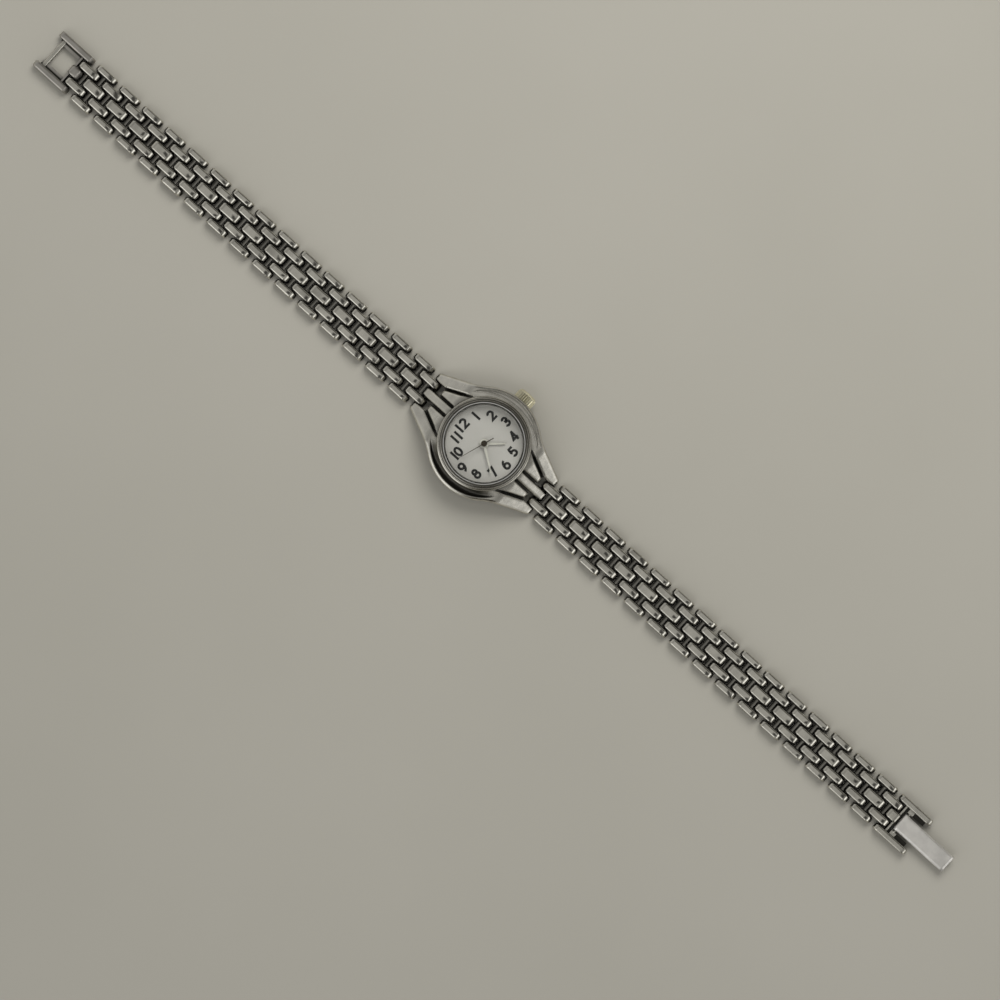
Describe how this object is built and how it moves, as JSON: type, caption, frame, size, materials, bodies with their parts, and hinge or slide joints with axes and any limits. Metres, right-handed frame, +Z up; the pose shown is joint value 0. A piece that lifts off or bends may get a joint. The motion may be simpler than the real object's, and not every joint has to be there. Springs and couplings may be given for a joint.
{
  "type": "bracelet watch",
  "caption": "Small round watch on a slim brick-pattern metal bracelet, laid open, with a fluted crown and a fold-over lever clasp.",
  "frame": {"origin": "centre of the case back's flat outer face, which rests on the table, under the middle of the dial", "axes": "+X towards three o'clock and the crown, +Y along the bracelet towards twelve o'clock, +Z up out of the dial"},
  "size_m": [0.0203, 0.1984, 0.0066],
  "materials": {
    "polished_case": "polished steel-coloured plating with fine wear",
    "link_steel": "polished steel-coloured plating, softly brushed on top",
    "crystal_glass": "clear, low dome",
    "black_rubber": "soft seal",
    "silver_dial": "matte silver white with printed black numerals",
    "hand_metal": "pale silver",
    "dark_hand": "thin black lacquer",
    "plate_steel": "nickel plated",
    "train_brass": "cut brass",
    "rotor_magnet": "sintered magnet on a steel arbor",
    "copper_coil": "enamelled copper winding on a steel stator",
    "battery_steel": "plain steel can",
    "white_plastic": "moulded",
    "gold_crown": "pale gold plating, fluted",
    "stem_steel": "turned",
    "clasp_steel": "polished plating",
    "blade_steel": "polished flat blade"
  },
  "bodies": {
    "case": {"case": "polished_case", "case_back": "polished_case", "case_back_gasket": "black_rubber", "bezel": "polished_case", "crystal": "crystal_glass", "crystal_gasket": "black_rubber", "dial": "silver_dial", "main_plate": "plate_steel", "train_bridge": "plate_steel", "movement_ring": "white_plastic", "stator_coil": "copper_coil", "battery": "battery_steel"},
    "upper_links_01": {"upper_links_01": "link_steel"},
    "upper_links_02": {"upper_links_02": "link_steel"},
    "upper_links_03": {"upper_links_03": "link_steel"},
    "upper_links_04": {"upper_links_04": "link_steel"},
    "upper_links_05": {"upper_links_05": "link_steel"},
    "upper_links_06": {"upper_links_06": "link_steel"},
    "upper_links_07": {"upper_links_07": "link_steel"},
    "upper_links_08": {"upper_links_08": "link_steel"},
    "upper_links_09": {"upper_links_09": "link_steel"},
    "upper_links_10": {"upper_links_10": "link_steel"},
    "upper_links_11": {"upper_links_11": "link_steel"},
    "upper_links_12": {"upper_links_12": "link_steel"},
    "upper_links_13": {"upper_links_13": "link_steel"},
    "upper_links_14": {"upper_links_14": "link_steel"},
    "upper_links_15": {"upper_links_15": "link_steel"},
    "hook": {"hook_frame": "clasp_steel", "hook_bar": "clasp_steel"},
    "lower_links_01": {"lower_links_01": "link_steel"},
    "lower_links_02": {"lower_links_02": "link_steel"},
    "lower_links_03": {"lower_links_03": "link_steel"},
    "lower_links_04": {"lower_links_04": "link_steel"},
    "lower_links_05": {"lower_links_05": "link_steel"},
    "lower_links_06": {"lower_links_06": "link_steel"},
    "lower_links_07": {"lower_links_07": "link_steel"},
    "lower_links_08": {"lower_links_08": "link_steel"},
    "lower_links_09": {"lower_links_09": "link_steel"},
    "lower_links_10": {"lower_links_10": "link_steel"},
    "lower_links_11": {"lower_links_11": "link_steel"},
    "lower_links_12": {"lower_links_12": "link_steel"},
    "lower_links_13": {"lower_links_13": "link_steel"},
    "lower_links_14": {"lower_links_14": "link_steel"},
    "lower_links_15": {"lower_links_15": "link_steel"},
    "clasp": {"clasp_frame": "clasp_steel", "clasp_pin": "clasp_steel"},
    "blade": {"clasp_blade": "blade_steel"},
    "crown_seal": {"crown_gasket": "black_rubber"},
    "crown": {"crown": "gold_crown", "stem": "stem_steel"},
    "second": {"second_hand": "dark_hand", "seconds_wheel": "train_brass"},
    "rotor": {"rotor": "rotor_magnet"},
    "intermediate": {"intermediate_wheel": "train_brass"},
    "third": {"third_wheel": "train_brass"},
    "minute": {"minute_hand": "hand_metal", "center_wheel": "train_brass"},
    "minute_idler": {"minute_wheel": "train_brass"},
    "hour": {"hour_hand": "hand_metal", "hour_wheel": "train_brass"}
  },
  "joints": [
    {"name": "clasp_lever", "type": "hinge", "parent": "clasp", "child": "blade", "pos_m": [0, -0.0921, 0.00115], "axis": [-1, 0, 0], "range_deg": [0, 100]},
    {"name": "crown_pull", "type": "slide", "parent": "case", "child": "crown_seal", "axis": [1, 0, 0], "range_m": [0, 0.001]},
    {"name": "crown_turn", "type": "hinge", "parent": "crown_seal", "child": "crown", "pos_m": [0.0095, 0, 0.00205], "axis": [1, 0, 0], "continuous": true},
    {"name": "seconds_turn", "type": "hinge", "parent": "case", "child": "second", "pos_m": [0, 0, 0.003], "axis": [0, 0, -1], "continuous": true},
    {"name": "upper_lug_hinge", "type": "hinge", "parent": "case", "child": "upper_links_01", "pos_m": [0, 0.0123, 0.00085], "axis": [-1, 0, 0], "range_deg": [-6, 20]},
    {"name": "lower_lug_hinge", "type": "hinge", "parent": "case", "child": "lower_links_01", "pos_m": [0, -0.0123, 0.00085], "axis": [1, 0, 0], "range_deg": [-6, 20]},
    {"name": "hook_hinge", "type": "hinge", "parent": "upper_links_15", "child": "hook", "pos_m": [0, 0.0898, 0.00085], "axis": [-1, 0, 0], "range_deg": [-6, 10]},
    {"name": "clasp_hinge", "type": "hinge", "parent": "lower_links_15", "child": "clasp", "pos_m": [0, -0.0898, 0.00085], "axis": [1, 0, 0], "range_deg": [-6, 10]},
    {"name": "upper_hinge_02", "type": "hinge", "parent": "upper_links_01", "child": "upper_links_02", "pos_m": [0, 0.0173, 0.00085], "axis": [-1, 0, 0], "range_deg": [-6, 10]},
    {"name": "upper_hinge_03", "type": "hinge", "parent": "upper_links_02", "child": "upper_links_03", "pos_m": [0, 0.0223, 0.00085], "axis": [-1, 0, 0], "range_deg": [-6, 10]},
    {"name": "upper_hinge_04", "type": "hinge", "parent": "upper_links_03", "child": "upper_links_04", "pos_m": [0, 0.0273, 0.00085], "axis": [-1, 0, 0], "range_deg": [-6, 10]},
    {"name": "upper_hinge_05", "type": "hinge", "parent": "upper_links_04", "child": "upper_links_05", "pos_m": [0, 0.0323, 0.00085], "axis": [-1, 0, 0], "range_deg": [-6, 10]},
    {"name": "upper_hinge_06", "type": "hinge", "parent": "upper_links_05", "child": "upper_links_06", "pos_m": [0, 0.0373, 0.00085], "axis": [-1, 0, 0], "range_deg": [-6, 10]},
    {"name": "upper_hinge_07", "type": "hinge", "parent": "upper_links_06", "child": "upper_links_07", "pos_m": [0, 0.0423, 0.00085], "axis": [-1, 0, 0], "range_deg": [-6, 10]},
    {"name": "upper_hinge_08", "type": "hinge", "parent": "upper_links_07", "child": "upper_links_08", "pos_m": [0, 0.0473, 0.00085], "axis": [-1, 0, 0], "range_deg": [-6, 10]},
    {"name": "upper_hinge_09", "type": "hinge", "parent": "upper_links_08", "child": "upper_links_09", "pos_m": [0, 0.0523, 0.00085], "axis": [-1, 0, 0], "range_deg": [-6, 10]},
    {"name": "upper_hinge_10", "type": "hinge", "parent": "upper_links_09", "child": "upper_links_10", "pos_m": [0, 0.0573, 0.00085], "axis": [-1, 0, 0], "range_deg": [-6, 10]},
    {"name": "upper_hinge_11", "type": "hinge", "parent": "upper_links_10", "child": "upper_links_11", "pos_m": [0, 0.0623, 0.00085], "axis": [-1, 0, 0], "range_deg": [-6, 10]},
    {"name": "upper_hinge_12", "type": "hinge", "parent": "upper_links_11", "child": "upper_links_12", "pos_m": [0, 0.0673, 0.00085], "axis": [-1, 0, 0], "range_deg": [-6, 10]},
    {"name": "upper_hinge_13", "type": "hinge", "parent": "upper_links_12", "child": "upper_links_13", "pos_m": [0, 0.0723, 0.00085], "axis": [-1, 0, 0], "range_deg": [-6, 10]},
    {"name": "upper_hinge_14", "type": "hinge", "parent": "upper_links_13", "child": "upper_links_14", "pos_m": [0, 0.0773, 0.00085], "axis": [-1, 0, 0], "range_deg": [-6, 10]},
    {"name": "upper_hinge_15", "type": "hinge", "parent": "upper_links_14", "child": "upper_links_15", "pos_m": [0, 0.0823, 0.00085], "axis": [-1, 0, 0], "range_deg": [-6, 10]},
    {"name": "lower_hinge_02", "type": "hinge", "parent": "lower_links_01", "child": "lower_links_02", "pos_m": [0, -0.0173, 0.00085], "axis": [1, 0, 0], "range_deg": [-6, 10]},
    {"name": "lower_hinge_03", "type": "hinge", "parent": "lower_links_02", "child": "lower_links_03", "pos_m": [0, -0.0223, 0.00085], "axis": [1, 0, 0], "range_deg": [-6, 10]},
    {"name": "lower_hinge_04", "type": "hinge", "parent": "lower_links_03", "child": "lower_links_04", "pos_m": [0, -0.0273, 0.00085], "axis": [1, 0, 0], "range_deg": [-6, 10]},
    {"name": "lower_hinge_05", "type": "hinge", "parent": "lower_links_04", "child": "lower_links_05", "pos_m": [0, -0.0323, 0.00085], "axis": [1, 0, 0], "range_deg": [-6, 10]},
    {"name": "lower_hinge_06", "type": "hinge", "parent": "lower_links_05", "child": "lower_links_06", "pos_m": [0, -0.0373, 0.00085], "axis": [1, 0, 0], "range_deg": [-6, 10]},
    {"name": "lower_hinge_07", "type": "hinge", "parent": "lower_links_06", "child": "lower_links_07", "pos_m": [0, -0.0423, 0.00085], "axis": [1, 0, 0], "range_deg": [-6, 10]},
    {"name": "lower_hinge_08", "type": "hinge", "parent": "lower_links_07", "child": "lower_links_08", "pos_m": [0, -0.0473, 0.00085], "axis": [1, 0, 0], "range_deg": [-6, 10]},
    {"name": "lower_hinge_09", "type": "hinge", "parent": "lower_links_08", "child": "lower_links_09", "pos_m": [0, -0.0523, 0.00085], "axis": [1, 0, 0], "range_deg": [-6, 10]},
    {"name": "lower_hinge_10", "type": "hinge", "parent": "lower_links_09", "child": "lower_links_10", "pos_m": [0, -0.0573, 0.00085], "axis": [1, 0, 0], "range_deg": [-6, 10]},
    {"name": "lower_hinge_11", "type": "hinge", "parent": "lower_links_10", "child": "lower_links_11", "pos_m": [0, -0.0623, 0.00085], "axis": [1, 0, 0], "range_deg": [-6, 10]},
    {"name": "lower_hinge_12", "type": "hinge", "parent": "lower_links_11", "child": "lower_links_12", "pos_m": [0, -0.0673, 0.00085], "axis": [1, 0, 0], "range_deg": [-6, 10]},
    {"name": "lower_hinge_13", "type": "hinge", "parent": "lower_links_12", "child": "lower_links_13", "pos_m": [0, -0.0723, 0.00085], "axis": [1, 0, 0], "range_deg": [-6, 10]},
    {"name": "lower_hinge_14", "type": "hinge", "parent": "lower_links_13", "child": "lower_links_14", "pos_m": [0, -0.0773, 0.00085], "axis": [1, 0, 0], "range_deg": [-6, 10]},
    {"name": "lower_hinge_15", "type": "hinge", "parent": "lower_links_14", "child": "lower_links_15", "pos_m": [0, -0.0823, 0.00085], "axis": [1, 0, 0], "range_deg": [-6, 10]},
    {"name": "rotor_turn", "type": "hinge", "parent": "case", "child": "rotor", "pos_m": [0.00186, 0.00268, 0.002], "axis": [0, 0, -1], "continuous": true},
    {"name": "intermediate_turn", "type": "hinge", "parent": "case", "child": "intermediate", "pos_m": [0.0006, 0.00222, 0.002], "axis": [0, 0, -1], "continuous": true},
    {"name": "third_turn", "type": "hinge", "parent": "case", "child": "third", "pos_m": [-0.0023, 0, 0.002], "axis": [0, 0, -1], "continuous": true},
    {"name": "minutes_turn", "type": "hinge", "parent": "case", "child": "minute", "pos_m": [0, 0, 0.003], "axis": [0, 0, -1], "continuous": true},
    {"name": "minute_idler_turn", "type": "hinge", "parent": "case", "child": "minute_idler", "pos_m": [0.00127, -0.00127, 0.003], "axis": [0, 0, -1], "continuous": true},
    {"name": "hours_turn", "type": "hinge", "parent": "case", "child": "hour", "pos_m": [0, 0, 0.003], "axis": [0, 0, -1], "continuous": true}
  ],
  "couplings": [
    {"joint": "rotor_turn", "follows": "seconds_turn", "ratio": 30},
    {"joint": "intermediate_turn", "follows": "seconds_turn", "ratio": -6},
    {"joint": "third_turn", "follows": "seconds_turn", "ratio": -0.13333},
    {"joint": "minutes_turn", "follows": "seconds_turn", "ratio": 0.016667},
    {"joint": "minute_idler_turn", "follows": "seconds_turn", "ratio": -0.0055556},
    {"joint": "hours_turn", "follows": "seconds_turn", "ratio": 0.0013889}
  ]
}
